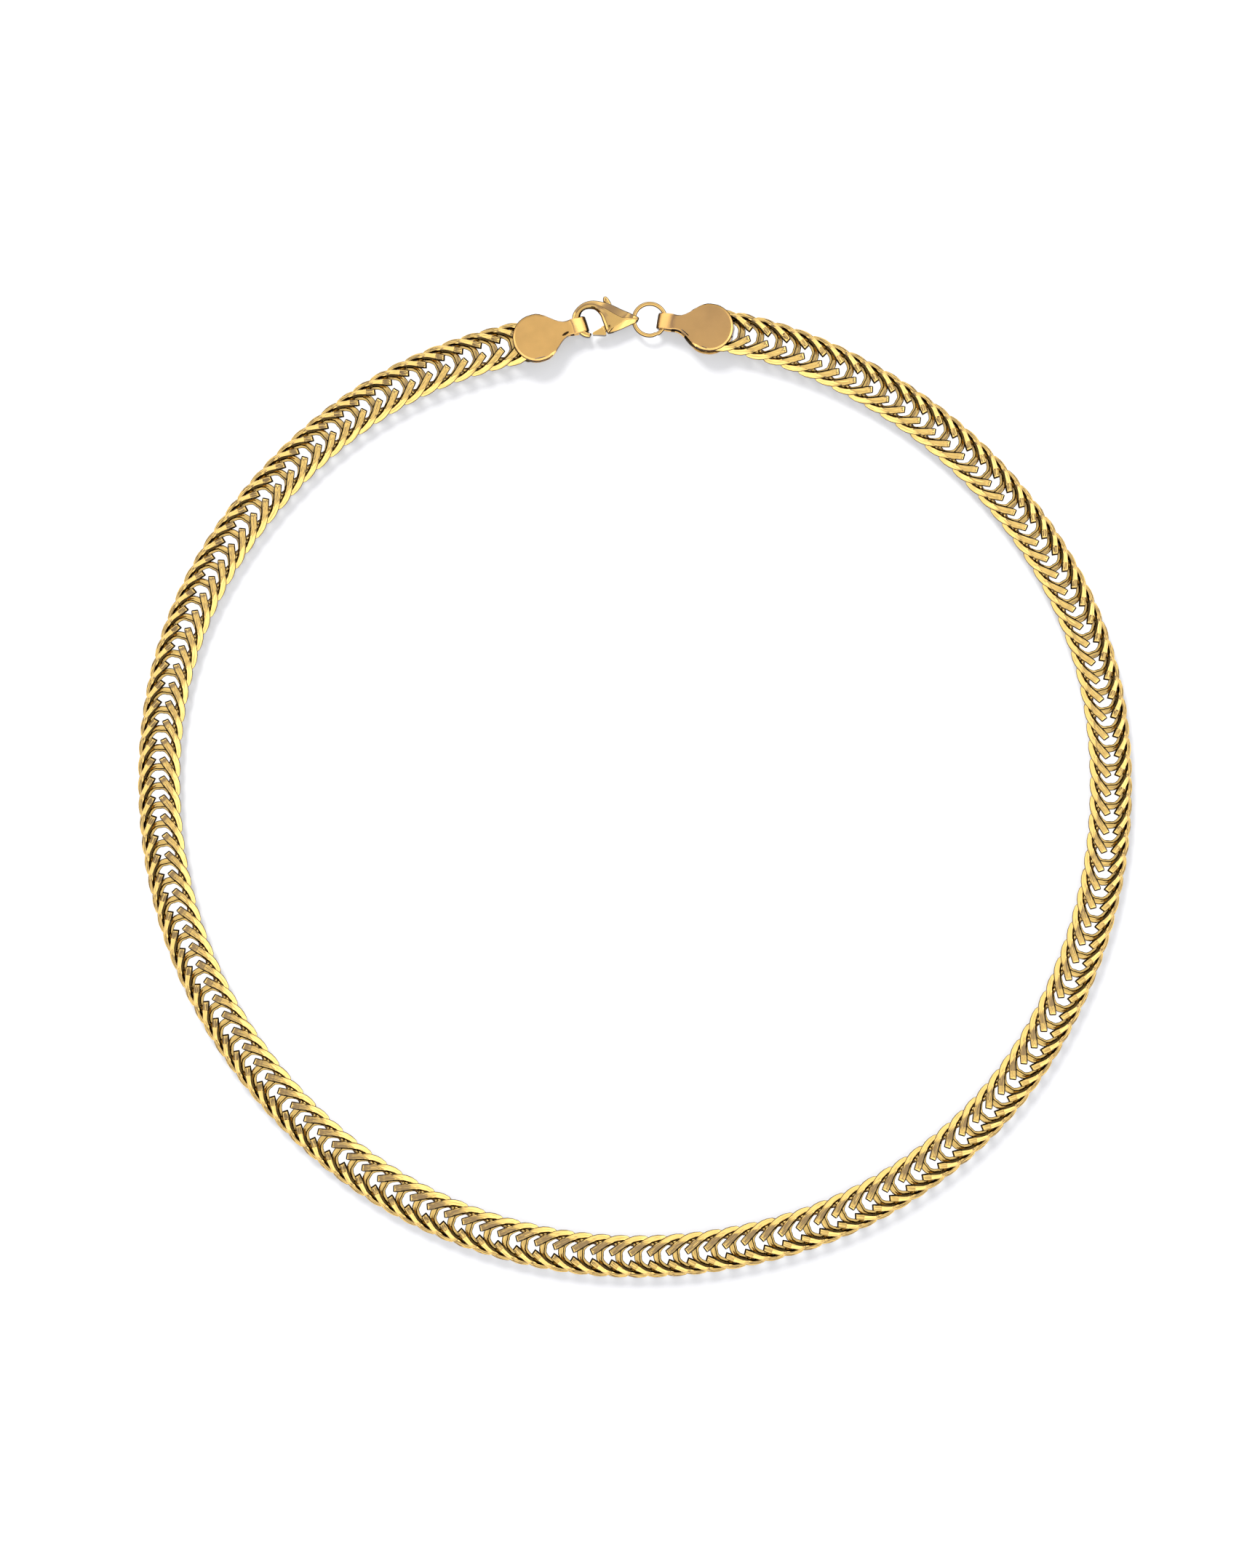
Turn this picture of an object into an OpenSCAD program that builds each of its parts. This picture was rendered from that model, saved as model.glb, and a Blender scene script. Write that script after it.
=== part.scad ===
// A necklace of wide V-shaped links, lying flat as a closed loop, with an end cap
// on each end, a jump ring and a lobster clasp. Millimetres, +Z up. The origin is
// on the table, under the middle of the necklace. +Y points from the middle to the clasp.

/* [Loop] */
// How many loose links the chain has
loose_links = 145; // [145:1:146]
// How far the chain rises towards the caps, to lie between their plates
lift_height = 0.5; // [0.46:0.01:0.52]
// Length of the slope over which it rises
lift_run = 32; // [28:1:40]

/* [End caps] */
// Diameter of a cap's round plate
cap_disc_d = 7.3; // [7.1:0.1:7.5]
// Thickness of each plate
cap_plate_t = 0.38; // [0.3:0.02:0.38]
// Height of the cap over both plates
cap_h = 3.8; // [3.76:0.02:3.9]
// Width of the neck between the plate and the bail
cap_neck_w = 2.2; // [2:0.1:2.4]
// Width of the folded bail
cap_bail_w = 2.4; // [2.2:0.1:2.6]
// Distance from the middle of the plate to the end of the bail
cap_reach = 8.25; // [8.2:0.05:8.3]

/* [Jump ring] */
// Outer diameter of the ring
ring_d = 5.5; // [5.4:0.05:5.6]
// Diameter of its wire
ring_wire_d = 0.6; // [0.5:0.02:0.6]

/* [Lobster clasp] */
// Thickness of the clasp's body
clasp_t = 2.4; // [2.3:0.05:2.5]
// Outer radius of the hook
hook_outer_r = 3.1; // [3.05:0.05:3.15]
// Radius of the hole inside the hook
hook_hole_r = 1.75; // [1.7:0.05:1.75]
// Thickness of the hook where it goes through the bail
hook_t = 1.5; // [1.4:0.05:1.6]
// Diameter of the lever's pin
pin_d = 0.56; // [0.5:0.02:0.6]
// Thickness of the lever inside the body
lever_t = 0.7; // [0.6:0.02:0.72]
// How far the lever turns when it is pressed, in degrees
lever_travel = 20; // [15:1:20]

/* [Hidden] */
gold = "goldenrod";
pale_gold = "khaki";
$fn = 64;

// The loop's centre line, seen from above: clockwise angle from +X, and radius
RADIUS = 1;
loop_centre = [0.2, -2.0];
route = [[0, 73.2], [20, 72.7], [40, 72.6], [60, 71.7], [80, 70.6], [100, 70.5],
         [120, 71.0], [140, 71.5], [160, 72.6], [180, 73.6], [200, 74.5], [220, 74.1],
         [240, 73.7], [260, 72.7], [280, 73.6], [300, 73.5], [320, 73.7], [340, 74.0]];
route_step = 360 / len(route);
cap_right_turn = -81.2;
cap_left_turn = 257.8;

// A smooth curve through four neighbouring values, for f from 0 to 1
function smooth(a, b, c, d, f) =
    b + f * ((c - a) / 2 + f * (a - 2.5 * b + 2 * c - d / 2 + f * (1.5 * (b - c) + (d - a) / 2)));
function row_radius(i) = route[(i + 2 * len(route)) % len(route)][RADIUS];
function radius_at(turn) =
    let (i = floor(turn / route_step), f = turn / route_step - i)
    smooth(row_radius(i - 1), row_radius(i), row_radius(i + 1), row_radius(i + 2), f);
function point_at(turn) = loop_centre + radius_at(turn) * [cos(turn), -sin(turn)];

// Length along the centre line, from the right cap's plate clockwise to the left cap's
turn_step = 0.5;
turn_first = cap_right_turn - 5;
turn_last = cap_left_turn + 5;
turns = [for (turn = [turn_first : turn_step : turn_last]) turn];
stretches = [for (i = [1 : len(turns) - 1]) norm(point_at(turns[i]) - point_at(turns[i - 1]))];
turn_by_length = [for (i = 0, s = 0; i < len(turns);
                       s = s + (i < len(stretches) ? stretches[i] : 0), i = i + 1) [s, turns[i]]];
length_by_turn = [for (row = turn_by_length) [row[1], row[0]]];
start_length = lookup(cap_right_turn, length_by_turn);
chain_length = lookup(cap_left_turn, length_by_turn) - start_length;
pitch = chain_length / (loose_links + 1);

// Height of the chain above the table at a distance from its start, and its slope
cap_flat = 4;
function ramp(distance) =
    let (f = min(1, max(0, (distance - cap_flat) / lift_run))) lift_height * (1 + cos(180 * f)) / 2;
function lift_at(distance) = ramp(distance) + ramp(chain_length - distance);

// One half of a link, from the tip of its arm round the eye to the middle of its bow.
// Each row is a cross-section: place ahead of the link's origin, place to the side,
// height, direction of the wire seen from above, its climb, width and thickness.
AHEAD = 0; ASIDE = 1; UP = 2; HEADING = 3; CLIMB = 4; WIDE = 5; THICK = 6;
link_rows = [
    [ 5.00, 0.65, 2.55, 148,    6, 0.90, 0.40],
    [ 0.60, 2.95, 2.10, 175,  -12, 0.80, 0.32],
    [-1.75, 1.40, 1.50, 215,  -30, 0.60, 0.36],
    [-1.85, 1.25, 0.20, 150, -170, 0.60, 0.36],
    [ 1.15, 2.25, 1.10, 155, -175, 0.55, 0.36],
    [ 3.95, 0.00, 1.05,  90, -180, 0.90, 0.40]];
// How far the tip of the arm lies ahead of the link's origin
link_tip = 5.25;
// The wire has five sides: a flat face and a shallow keel
wire_section = [[0.5, 0.5], [-0.5, 0.5], [-0.5, -0.25], [0, -0.5], [0.5, -0.25]];
sides = len(wire_section);

function across(row) = [-sin(row[HEADING]), cos(row[HEADING]), 0];
function above(row) = [-sin(row[CLIMB]) * cos(row[HEADING]),
                       -sin(row[CLIMB]) * sin(row[HEADING]), cos(row[CLIMB])];
function section(row) =
    [for (corner = wire_section)
        [row[AHEAD], row[ASIDE], row[UP]] + across(row) * row[WIDE] * corner[0]
            + above(row) * row[THICK] * corner[1]];
half_link = [for (row = link_rows) section(row)];
other_half = [for (i = [len(half_link) - 2 : -1 : 0]) [for (p = half_link[i]) [p[0], -p[1], p[2]]]];
link_sections = concat(half_link, other_half);
link_points = [for (ring = link_sections) for (p = ring) p];
rings = len(link_sections);
link_faces = concat(
    [for (i = [0 : rings - 2]) for (j = [0 : sides - 1]) let (k = (j + 1) % sides)
        [i * sides + j, (i + 1) * sides + k, i * sides + k]],
    [for (i = [0 : rings - 2]) for (j = [0 : sides - 1]) let (k = (j + 1) % sides)
        [i * sides + j, (i + 1) * sides + j, (i + 1) * sides + k]],
    [for (j = [1 : sides - 2]) [0, j, j + 1]],
    [for (j = [1 : sides - 2]) let (last = (rings - 1) * sides) [last, last + j + 1, last + j]]);

// A link's place on the loop: its tip lies this far along the chain
function link_tip_length(i) = cap_disc_d / 2 + (i + 1) * pitch;
// Moves a link's own point to its place: along the loop, outwards and up
function place_point(p, distance) =
    let (turn = lookup(start_length + distance, turn_by_length),
         here = point_at(turn),
         ahead = (point_at(turn + 0.2) - point_at(turn - 0.2)),
         forward = ahead / norm(ahead),
         out = [-forward[1], forward[0]],
         slope = (lift_at(distance + 0.5) - lift_at(distance - 0.5)),
         run = p[0] - p[2] * slope,
         level = here + forward * run + out * p[1])
    [level[0], level[1], lift_at(distance) + p[2] + p[0] * slope];

module links(first, last) {
    points = [for (i = [first : last]) for (p = link_points)
              place_point(p, link_tip_length(i) - link_tip)];
    faces = [for (i = [first : last]) for (face = link_faces)
             [for (corner = face) corner + (i - first) * len(link_points)]];
    polyhedron(points, faces);
}

middle_link = floor(loose_links / 2);

module chain_right() {
    color(gold) links(0, middle_link - 1);
}

module chain_left() {
    color(gold) links(middle_link, loose_links - 1);
}

// Cap: x runs from the middle of the round plate to the bail
disc_r = cap_disc_d / 2;
neck_start = 0.6;
neck_end = 5.1;
bail_flare = 1.2;
bail_inside = 2.25;
bail_wall = 0.32;
bail_low = 0.2;
bail_high = 2.8;
bail_mid = (bail_low + bail_high) / 2;
bail_round = 0.5;
// Where the wall between the plates starts, and where the plates slope to the neck
wall_x = 2.4;
slope_x = 2.8;
function flank(x) =
    x < neck_start ? sqrt(max(0, disc_r * disc_r - x * x)) :
    x < neck_end ? let (f = (x - neck_start) / (neck_end - neck_start), wide = flank(neck_start - 0.001))
        cap_neck_w / 2 + (wide - cap_neck_w / 2) * (1 + cos(180 * f)) / 2 :
    let (f = min(1, (x - neck_end) / bail_flare)) cap_neck_w / 2 + (cap_bail_w - cap_neck_w) / 2 * f;
disc_turns = [for (a = [180 : -10 : 70]) disc_r * cos(a)];
neck_steps = [for (f = [0 : 1 / 9 : 1]) neck_start + f * (neck_end + bail_flare - neck_start)];
cap_xs = concat([for (x = disc_turns) if (x < neck_start) x], neck_steps, [cap_reach]);

module cap_outline() {
    polygon(concat([for (x = cap_xs) [x, flank(x)]],
                   [for (i = [len(cap_xs) - 1 : -1 : 1]) [cap_xs[i], -flank(cap_xs[i])]]));
}

// A rectangle with round corners, from one corner to the other
module round_box(low, high, r) {
    translate([low[0] + r, low[1]]) square([high[0] - low[0] - 2 * r, high[1] - low[1]]);
    translate([low[0], low[1] + r]) square([high[0] - low[0], high[1] - low[1] - 2 * r]);
    for (x = [low[0] + r, high[0] - r], y = [low[1] + r, high[1] - r])
        translate([x, y]) circle(r);
}

// The cap seen from its side: two plates, the wall between them and the bail
module cap_side() {
    difference() {
        union() {
            polygon([[-disc_r - 1, 0], [-disc_r - 1, cap_h], [slope_x, cap_h], [neck_end + 0.7, bail_high],
                     [cap_reach - bail_round, bail_high], [cap_reach - bail_round, bail_low],
                     [neck_end, bail_low], [slope_x, 0]]);
            round_box([neck_end + 0.5, bail_low], [cap_reach, bail_high], bail_round);
        }
        translate([-disc_r - 2, cap_plate_t]) square([disc_r + 2 + wall_x, cap_h - 2 * cap_plate_t]);
        round_box([cap_reach - bail_wall - bail_inside, bail_low + bail_wall],
                  [cap_reach - bail_wall, bail_high - bail_wall], bail_round - 0.1);
    }
}

module cap() {
    intersection() {
        linear_extrude(cap_h) cap_outline();
        rotate([90, 0, 0]) linear_extrude(cap_disc_d + 1, center = true) cap_side();
    }
}

cap_right_heading = 170.4;
cap_left_heading = 18;

module cap_right() {
    centre = point_at(cap_right_turn);
    color(pale_gold) {
        translate([centre[0], centre[1], 0]) rotate([0, 0, cap_right_heading]) cap();
        links(-1, -1);
    }
}

module cap_left() {
    centre = point_at(cap_left_turn);
    color(pale_gold) {
        translate([centre[0], centre[1], 0]) rotate([0, 0, cap_left_heading]) cap();
        links(loose_links, loose_links);
    }
}

// The clasp's own frame has its origin on the lever's pin
pin_at = [-4.0, 71.0];
clasp_mid = bail_mid;
eye_at = [3.8, 1.2];
eye_r = 0.9;
eye_w = 1.0;
eye_hole_r = 0.5;
ring_r = (ring_d - ring_wire_d) / 2;
ring_at = pin_at + eye_at + [ring_r, 0];

module jump_ring() {
    color(gold) translate([ring_at[0], ring_at[1], clasp_mid])
        rotate_extrude() translate([ring_r, 0]) circle(ring_wire_d / 2);
}

hook_at = [-2.6, 1.0];
hole_at = [-2.8, 0.9];

// Body from the hook to the end eye
module clasp_shoulder() {
    polygon([[-2.4, 4.0], [-0.9, 3.8], [0.4, 3.35], [1.7, 2.75], [3.0, 2.2], [3.7, 1.7],
             [3.7, 0.7], [2.5, -0.1], [1.5, -0.55], [0.3, -0.95], [-0.3, -1.05], [-1.0, 1.0], [-2.0, 2.6]]);
}

// Open mouth below the hole, from the hook's tip to the body
module clasp_mouth() {
    polygon([[-2.75, -0.7], [-2.6, -3.0], [-0.1, -3.0], [-0.3, -1.0], [-0.85, 0.6], [-2.8, 0.9]]);
}

// What is cut off below the hook's end
module hook_belly() {
    polygon([[-6, -3], [-6, -0.2], [-5.2, -0.4], [-4.0, -1.35], [-3.2, -1.62], [-2, -1.55], [-2, -3]]);
}

module hook_outline() {
    difference() {
        translate(hook_at) circle(hook_outer_r);
        translate(hole_at) circle(hook_hole_r);
        clasp_mouth();
        translate([-0.8, -3]) square([4, 7]);
        hook_belly();
    }
}

module body_outline() {
    difference() {
        clasp_shoulder();
        translate(hole_at) circle(hook_hole_r);
        clasp_mouth();
    }
}

// Space inside the body in which the lever swings
lever_gap = 0.1;
swing_r = 4.8;
swing_edge = lever_travel + 8;
module lever_space() {
    circle(1.05);
    polygon([[-0.9, 0.2], [-1.0, 4.5], swing_r * [sin(swing_edge), cos(swing_edge)], [1.0, 0]]);
    polygon([[0, 1.0], [-1.6, 1.0], [-3.0, -2], [-0.2, -2], [0.6, -0.8]]);
}

module clasp_body() {
    color(gold) translate([pin_at[0], pin_at[1], clasp_mid]) difference() {
        union() {
            linear_extrude(hook_t, center = true) hook_outline();
            linear_extrude(clasp_t, center = true) body_outline();
            translate([eye_at[0], eye_at[1], 0]) rotate([90, 0, 0])
                cylinder(h = eye_w, r = eye_r, center = true);
        }
        linear_extrude(lever_t + 2 * lever_gap, center = true) lever_space();
        cylinder(h = clasp_t + 1, d = pin_d + 0.04, center = true);
        translate([eye_at[0], eye_at[1], 0]) rotate([90, 0, 0])
            cylinder(h = eye_w + 4, r = eye_hole_r, center = true);
    }
}

module clasp_pin() {
    color(pale_gold) translate([pin_at[0], pin_at[1], clasp_mid])
        cylinder(h = clasp_t - 0.1, d = pin_d, center = true);
}

// Lever: the gate closes the mouth, the arm carries the thumb knob
knob_at = [-0.5, 4.4];
knob_r = 0.4;
module lever_outline() {
    circle(0.8);
    polygon([[-0.75, 0.1], [-0.55, 3.3], [knob_at[0] - knob_r, knob_at[1]],
             [knob_at[0] + knob_r, knob_at[1]], [0.4, 3.2], [0.75, 0.1]]);
    translate(knob_at) circle(knob_r);
    polygon([[0, 0.7], [-1.35, -0.05], [-1.35, -1.2], [-0.4, -0.7]]);
}

module gate_outline() {
    polygon([[-1.3, 0], [-2.55, -0.8], [-2.5, -1.25], [-1.3, -1.25]]);
}

module clasp_lever() {
    color(pale_gold) translate([pin_at[0], pin_at[1], clasp_mid]) difference() {
        union() {
            linear_extrude(lever_t, center = true) lever_outline();
            linear_extrude(hook_t - 0.1, center = true) gate_outline();
        }
        cylinder(h = clasp_t, d = pin_d + 0.1, center = true);
    }
}

chain_right();
chain_left();
cap_right();
cap_left();
jump_ring();
clasp_body();
clasp_pin();
clasp_lever();
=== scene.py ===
# A necklace of wide V-shaped gold links with flat end caps, a jump ring and a lobster clasp.
# The dictionaries hold millimetres and degrees; the meshes are made in metres.
import math

import bmesh
import bpy
import numpy as np
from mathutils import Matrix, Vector


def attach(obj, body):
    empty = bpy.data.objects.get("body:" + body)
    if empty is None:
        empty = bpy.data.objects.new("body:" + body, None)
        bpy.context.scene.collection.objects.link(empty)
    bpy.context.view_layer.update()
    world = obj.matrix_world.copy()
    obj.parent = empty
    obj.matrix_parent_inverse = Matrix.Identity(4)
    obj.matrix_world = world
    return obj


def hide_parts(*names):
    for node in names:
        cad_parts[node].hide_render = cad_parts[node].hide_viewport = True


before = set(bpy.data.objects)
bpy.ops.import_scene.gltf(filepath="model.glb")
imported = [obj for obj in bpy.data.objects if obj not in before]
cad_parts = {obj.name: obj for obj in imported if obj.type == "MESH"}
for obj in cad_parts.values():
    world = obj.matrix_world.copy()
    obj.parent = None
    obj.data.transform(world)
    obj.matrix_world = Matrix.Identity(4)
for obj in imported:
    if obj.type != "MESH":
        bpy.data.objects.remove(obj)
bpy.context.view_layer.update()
mm = 0.001
print("stage: frame loaded,", len(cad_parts), "nodes")


# Modelling helpers

def deselectAll():
    if bpy.context.object and bpy.context.object.mode != "OBJECT":
        bpy.ops.object.mode_set(mode="OBJECT")
    bpy.ops.object.select_all(action="DESELECT")


def pickOnly(obj):
    deselectAll()
    obj.select_set(True)
    bpy.context.view_layer.objects.active = obj


def drawOut(name, rings):
    # starts from a filled circle and extrudes its face from one cross-section to the next
    deselectAll()
    count = len(rings[0])
    bpy.ops.mesh.primitive_circle_add(vertices=count, radius=mm, fill_type="NGON")
    obj = bpy.context.object
    obj.name = obj.data.name = name
    bpy.ops.object.mode_set(mode="EDIT")
    bpy.ops.mesh.select_mode(type="FACE")
    edit = bmesh.from_edit_mesh(obj.data)
    places = {}
    for k, v in enumerate(next(f for f in edit.faces if f.select).verts):
        places[v.index] = k
        v.co = rings[0][k] * mm
    for ring in rings[1:]:
        bpy.ops.mesh.extrude_region()
        edit = bmesh.from_edit_mesh(obj.data)
        edit.verts.index_update()
        moved = {}
        for v in next(f for f in edit.faces if f.select).verts:
            old = next(e.other_vert(v) for e in v.link_edges if e.other_vert(v).index in places)
            moved[v.index] = places[old.index]
            v.co = ring[places[old.index]] * mm
        places = moved
    bmesh.update_edit_mesh(obj.data)
    bpy.ops.object.mode_set(mode="OBJECT")
    return obj


def turnOutwards(obj, merge=0.0):
    # merges vertices that lie closer than this distance, and turns the faces outwards
    pickOnly(obj)
    bpy.ops.object.mode_set(mode="EDIT")
    bpy.ops.mesh.select_all(action="SELECT")
    if merge > 0:
        bpy.ops.mesh.remove_doubles(threshold=merge * mm)
    bpy.ops.mesh.normals_make_consistent(inside=False)
    bpy.ops.object.mode_set(mode="OBJECT")
    return obj


def smoothByAngle(obj, angle):
    pickOnly(obj)
    bpy.ops.object.shade_smooth_by_angle(angle=math.radians(angle))
    return obj


def tidyMesh(obj, angle, merge=0.004):
    return smoothByAngle(turnOutwards(obj, merge), angle)


def addModifier(obj, kind, **values):
    pickOnly(obj)
    modifier = obj.modifiers.new(kind.title(), kind)
    for key, value in values.items():
        setattr(modifier, key, value)
    bpy.ops.object.modifier_apply(modifier=modifier.name)
    return obj


def cutWith(obj, cutter):
    addModifier(obj, "BOOLEAN", operation="DIFFERENCE", solver="EXACT", object=cutter)
    bpy.data.objects.remove(cutter)
    return obj


def moveVertices(obj, change):
    # change takes and gives an array of places in millimetres
    co = np.zeros(len(obj.data.vertices) * 3)
    obj.data.vertices.foreach_get("co", co)
    obj.data.vertices.foreach_set("co", (change(co.reshape(-1, 3) / mm) * mm).ravel())
    obj.data.update()
    return obj


def extrudeShape(name, points, low, high):
    # a flat outline drawn up into a slab
    flat = np.array(points, float)
    return drawOut(name, [np.column_stack([flat, np.full(len(flat), z)]) for z in (low, high)])


def joinPieces(objects, name):
    pickOnly(objects[0])
    for obj in objects[1:]:
        obj.select_set(True)
    if len(objects) > 1:
        bpy.ops.object.join()
    objects[0].name = objects[0].data.name = name
    return objects[0]


def curveBetween(a, b, c, d, f):
    # the place a share f of the way from b to c, on a smooth curve past their neighbours a and d
    slope = (c - a) / 2
    bend = a - 2.5 * b + 2 * c - d / 2
    return b + f * (slope + f * (bend + f * (1.5 * (b - c) + (d - a) / 2)))


def smoothThrough(rows, steps):
    # a smooth curve through rows of numbers, with so many steps between neighbours
    rows = np.array(rows, float)
    padded = np.vstack([2 * rows[0] - rows[1], rows, 2 * rows[-1] - rows[-2]])
    out = []
    for i in range(len(rows) - 1):
        for f in np.arange(steps) / steps:
            out.append(curveBetween(*padded[i:i + 4], f))
    return np.array(out + [rows[-1]])


def rotate(x, y, degrees):
    c, s = math.cos(math.radians(degrees)), math.sin(math.radians(degrees))
    return x * c - y * s, x * s + y * c


def unit(v):
    return v / np.linalg.norm(v)


def lengthsAlong(points):
    # the length of a line of points from its start to each of them
    return np.concatenate([[0], np.cumsum(np.linalg.norm(np.diff(points, axis=0), axis=1))])


def anglesRound(sides):
    return np.radians(np.arange(0, 360, 360 / sides))


def paintShade(obj, shades, name="paintedShade", domain="FACE"):
    # how much shade is painted on the gold, from 0 to 1, or another value for each face or vertex
    layer = obj.data.attributes.new(name, "FLOAT", domain)
    layer.data.foreach_set("value", np.array(shades, np.float32))


# Gold finishes

def makeGroup(name, inputs, outputs):
    tree = bpy.data.node_groups.new(name, "ShaderNodeTree")
    for label, kind, value in inputs:
        made = tree.interface.new_socket(label, in_out="INPUT", socket_type="NodeSocket" + kind)
        made.default_value = value
    for label, kind in outputs:
        tree.interface.new_socket(label, in_out="OUTPUT", socket_type="NodeSocket" + kind)
    return tree, tree.nodes.new("NodeGroupInput").outputs, tree.nodes.new("NodeGroupOutput").inputs


def feed(tree, inputs, values):
    # each value is a number, a colour or the output of another node
    for key, value in values.items():
        if isinstance(value, bpy.types.NodeSocket):
            tree.links.new(value, inputs[key])
        else:
            inputs[key].default_value = value


def addNode(tree, kind, values=None, **settings):
    node = tree.nodes.new("ShaderNode" + kind)
    for key, value in settings.items():
        setattr(node, key, value)
    feed(tree, node.inputs, values or {})
    return node.outputs


def buildGoldToneAndShade():
    # colour with painted shade, darker in recesses, on walls and under parts, and that varies softly over
    # the surface
    tree, given, result = makeGroup("goldToneAndShade", [
        ("Light gold", "Color", (1, 0.7, 0.3, 1)), ("Painted shade gold", "Color", (0.5, 0.25, 0.05, 1)),
        ("Painted shade", "Float", 0.0), ("Patch size", "Float", 500.0), ("Patch strength", "Float", 0.3)],
        [("Color", "Color")])
    place = addNode(tree, "TexCoord")["Object"]
    patches = addNode(tree, "TexNoise", {
        "Vector": place, "Scale": given["Patch size"], "Detail": 2.0, "Roughness": 0.5})
    spread = addNode(tree, "MapRange", {
        "Value": patches["Fac"], "From Min": 0.3, "From Max": 0.7, "To Min": -0.5, "To Max": 0.5})
    weighed = addNode(tree, "Math", {0: spread["Result"], 1: given["Patch strength"]}, operation="MULTIPLY")
    total = addNode(tree, "Math", {0: weighed[0], 1: given["Painted shade"]}, operation="ADD", use_clamp=True)
    colours = {"Factor": total[0], "A": given["Light gold"], "B": given["Painted shade gold"]}
    blend = addNode(tree, "Mix", colours, data_type="RGBA")
    tree.links.new(blend["Result"], result["Color"])
    return tree


def buildPolishMarks():
    # fine rubbing marks from polishing and wear, as a height and a roughness
    tree, given, result = makeGroup("polishMarks", [
        ("Mark size", "Float", 4000.0), ("Stretch", "Float", 8.0), ("Turn", "Float", 0.5),
        ("Smooth", "Float", 0.12), ("Rough", "Float", 0.3)],
        [("Height", "Float"), ("Roughness", "Float")])
    place = addNode(tree, "TexCoord")["Object"]
    turned = addNode(tree, "VectorRotate", {"Vector": place, "Angle": given["Turn"]}, rotation_type="Z_AXIS")
    size = addNode(tree, "CombineXYZ", {"X": 1.0, "Y": given["Stretch"], "Z": 1.0})
    stretched = addNode(tree, "VectorMath", {0: turned["Vector"], 1: size["Vector"]}, operation="MULTIPLY")
    marks = addNode(tree, "TexNoise", {
        "Vector": stretched["Vector"], "Scale": given["Mark size"], "Detail": 3.0, "Roughness": 0.6})
    haze = addNode(tree, "TexNoise", {"Vector": place, "Scale": 350.0, "Detail": 2.0})
    mixed = addNode(tree, "Math", {0: marks["Fac"], 1: haze["Fac"]}, operation="MULTIPLY")
    rough = addNode(tree, "MapRange", {
        "Value": mixed[0], "From Min": 0.12, "From Max": 0.4, "To Min": given["Smooth"],
        "To Max": given["Rough"]})
    feed(tree, result, {"Height": marks["Fac"], "Roughness": rough["Result"]})
    return tree


def buildBandStreaks():
    # long shallow waves drawn along a band, where a mesh has a place across and along it
    tree, given, result = makeGroup(
        "bandStreaks", [("Across", "Float", 3.0), ("Along", "Float", 0.4)], [("Height", "Float")])
    place = addNode(tree, "Attribute", attribute_name="grain")["Vector"]
    size = addNode(tree, "CombineXYZ", {"X": given["Across"], "Y": given["Along"], "Z": 1.0})
    stretched = addNode(tree, "VectorMath", {0: place, 1: size["Vector"]}, operation="MULTIPLY")
    waves = addNode(tree, "TexNoise", {
        "Vector": stretched["Vector"], "Scale": 1.0, "Detail": 1.0, "Roughness": 0.4})
    tree.links.new(waves["Fac"], result["Height"])
    return tree


goldToneAndShade = buildGoldToneAndShade()
polishMarks = buildPolishMarks()
bandStreaks = buildBandStreaks()


finishes = {
    # each deep gold is the near-black colour of painted shade
    "chainGold": {
        "tone": {"Light gold": (0.89, 0.60, 0.195, 1), "Painted shade gold": (0.012, 0.007, 0.004, 1),
                 "Patch size": 700.0, "Patch strength": 0.06},
        "polish": {"Mark size": 5000.0, "Stretch": 1.0, "Smooth": 0.05, "Rough": 0.15}, "relief": 0.10},
    "capGold": {
        "tone": {"Light gold": (0.90, 0.535, 0.18, 1), "Painted shade gold": (0.03, 0.016, 0.008, 1),
                 "Patch size": 300.0, "Patch strength": 0.12},
        "polish": {"Mark size": 2500.0, "Stretch": 10.0, "Smooth": 0.10, "Rough": 0.26}, "relief": 0.10},
    "claspGold": {
        "tone": {"Light gold": (0.90, 0.57, 0.19, 1), "Painted shade gold": (0.02, 0.012, 0.006, 1),
                 "Patch size": 400.0, "Patch strength": 0.05},
        "polish": {"Mark size": 3000.0, "Stretch": 6.0, "Smooth": 0.05, "Rough": 0.14}, "relief": 0.06},
    "markDepth": 0.02,
    # waves along the chain's bands
    "streaks": {"Across": 3.2, "Along": 0.45}, "streakDepth": 0.075,
}


def makeGold(name):
    look = finishes[name]
    material = bpy.data.materials.new(name)
    material.use_nodes = True
    tree = material.node_tree
    # the painted shade that each face carries deepens its colour toward the deep gold
    paintedShade = addNode(tree, "Attribute", attribute_name="paintedShade")["Fac"]
    tone = addNode(tree, "Group", {**look["tone"], "Painted shade": paintedShade}, node_tree=goldToneAndShade)
    marks = addNode(tree, "Group", look["polish"], node_tree=polishMarks)
    relief = addNode(tree, "Bump", {
        "Strength": look["relief"], "Distance": finishes["markDepth"] * mm, "Height": marks["Height"]})
    feed(tree, tree.nodes["Principled BSDF"].inputs, {
        "Base Color": tone["Color"], "Metallic": 1.0, "Roughness": marks["Roughness"],
        "Normal": relief["Normal"]})
    return material


def drawStreaks(material):
    # the waves lie under the finer polish marks
    tree = material.node_tree
    fine = tree.nodes["Principled BSDF"].inputs["Normal"].links[0].from_node
    streaks = addNode(tree, "Group", finishes["streaks"], node_tree=bandStreaks)
    waves = addNode(tree, "Bump", {
        "Strength": 1.0, "Distance": finishes["streakDepth"] * mm, "Height": streaks["Height"]})
    tree.links.new(waves["Normal"], fine.inputs["Normal"])


chainGold = makeGold("chainGold")
drawStreaks(chainGold)
capGold = makeGold("capGold")
claspGold = makeGold("claspGold")
print("stage: gold finishes ready")


def wearAs(obj, material, slotName, body, *nodes):
    obj.data.materials.clear()
    obj.data.materials.append(material)
    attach(obj, body)
    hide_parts(*nodes)
    return obj


# The loop that the necklace lies in, the same route as the part's source

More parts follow.
